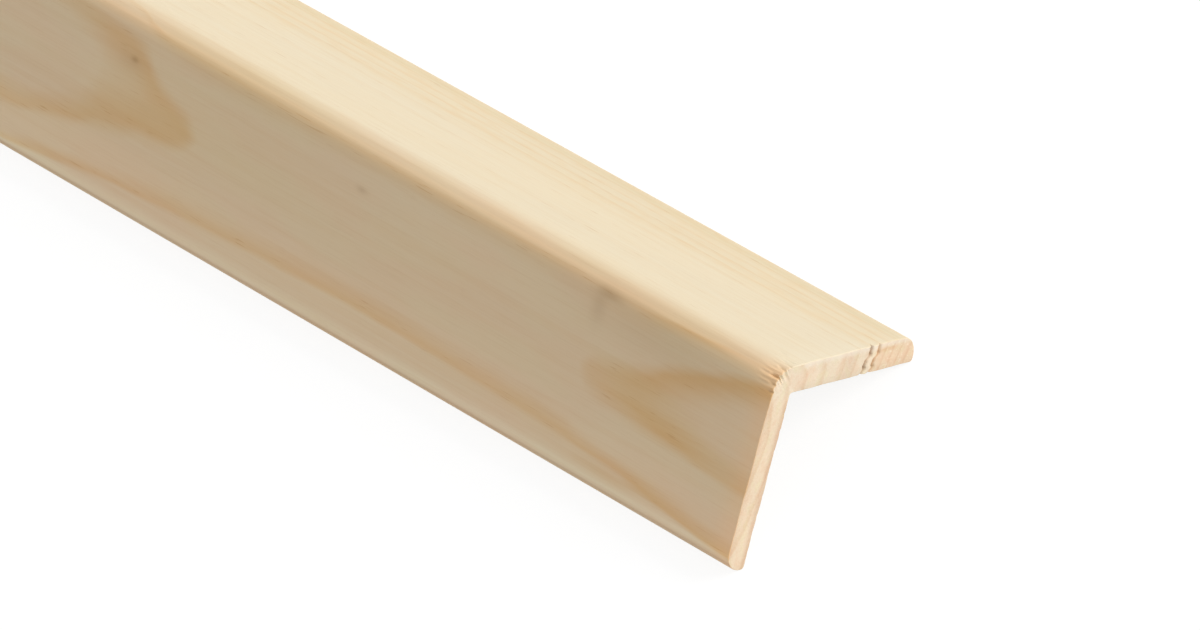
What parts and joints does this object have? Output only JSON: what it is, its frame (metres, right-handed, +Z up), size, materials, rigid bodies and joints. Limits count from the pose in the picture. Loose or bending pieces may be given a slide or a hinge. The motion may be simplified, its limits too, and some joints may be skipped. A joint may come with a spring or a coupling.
{
  "type": "angle moulding",
  "caption": "Long pine angle moulding of L section with a rounded outside corner and rounded toes, for covering the outside corner of a wall, panel or box.",
  "frame": {"origin": "on the floor at mid length, straight below the rounded outside corner", "axes": "+X along the length, +Y across from toe to toe, +Z up through the outside corner"},
  "size_m": [2.4, 0.0356, 0.0203],
  "materials": {
    "pine": "planed bare pine, matte"
  },
  "bodies": {
    "root": {"angle_moulding": "pine"}
  },
  "joints": []
}
